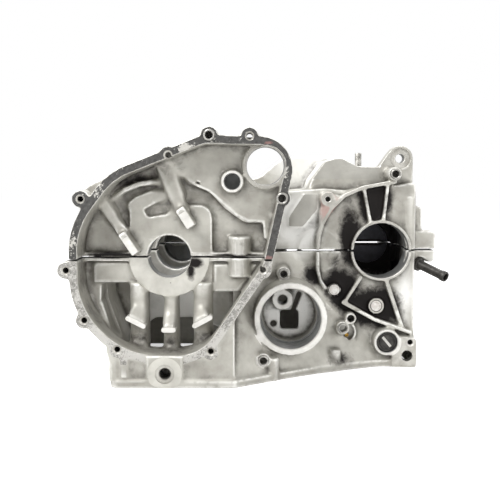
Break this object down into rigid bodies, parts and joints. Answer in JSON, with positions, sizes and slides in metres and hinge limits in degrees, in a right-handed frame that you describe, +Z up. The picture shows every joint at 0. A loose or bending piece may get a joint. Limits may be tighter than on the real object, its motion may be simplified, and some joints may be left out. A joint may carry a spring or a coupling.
{
  "type": "engine crankcase",
  "caption": "Horizontally split crankcase of a small parallel-twin engine with magneto chamber, oil pump seat, gearbox bores and flat pan face.",
  "frame": {"origin": "on the crankshaft axis, in the joint plane, at the magneto side face of the first main bearing web", "axes": "+X towards the rear of the engine, +Y from the magneto side to the clutch side, +Z up, square to the joint plane"},
  "size_m": [0.3828, 0.24, 0.2421],
  "materials": {
    "cast_aluminium": "satin cast surface with machined faces",
    "bright_steel": "ground",
    "plug_aluminium": "turned",
    "dark_steel": "black oxide, dull",
    "brass": "turned"
  },
  "bodies": {
    "root": {"upper_crankcase": "cast_aluminium", "lower_crankcase": "cast_aluminium", "cover_dowels": "bright_steel", "joint_dowels": "bright_steel", "gallery_plugs": "plug_aluminium", "slotted_plug": "dark_steel", "hose_nipple": "dark_steel", "deck_stud": "dark_steel", "oil_jet": "brass"}
  },
  "joints": []
}
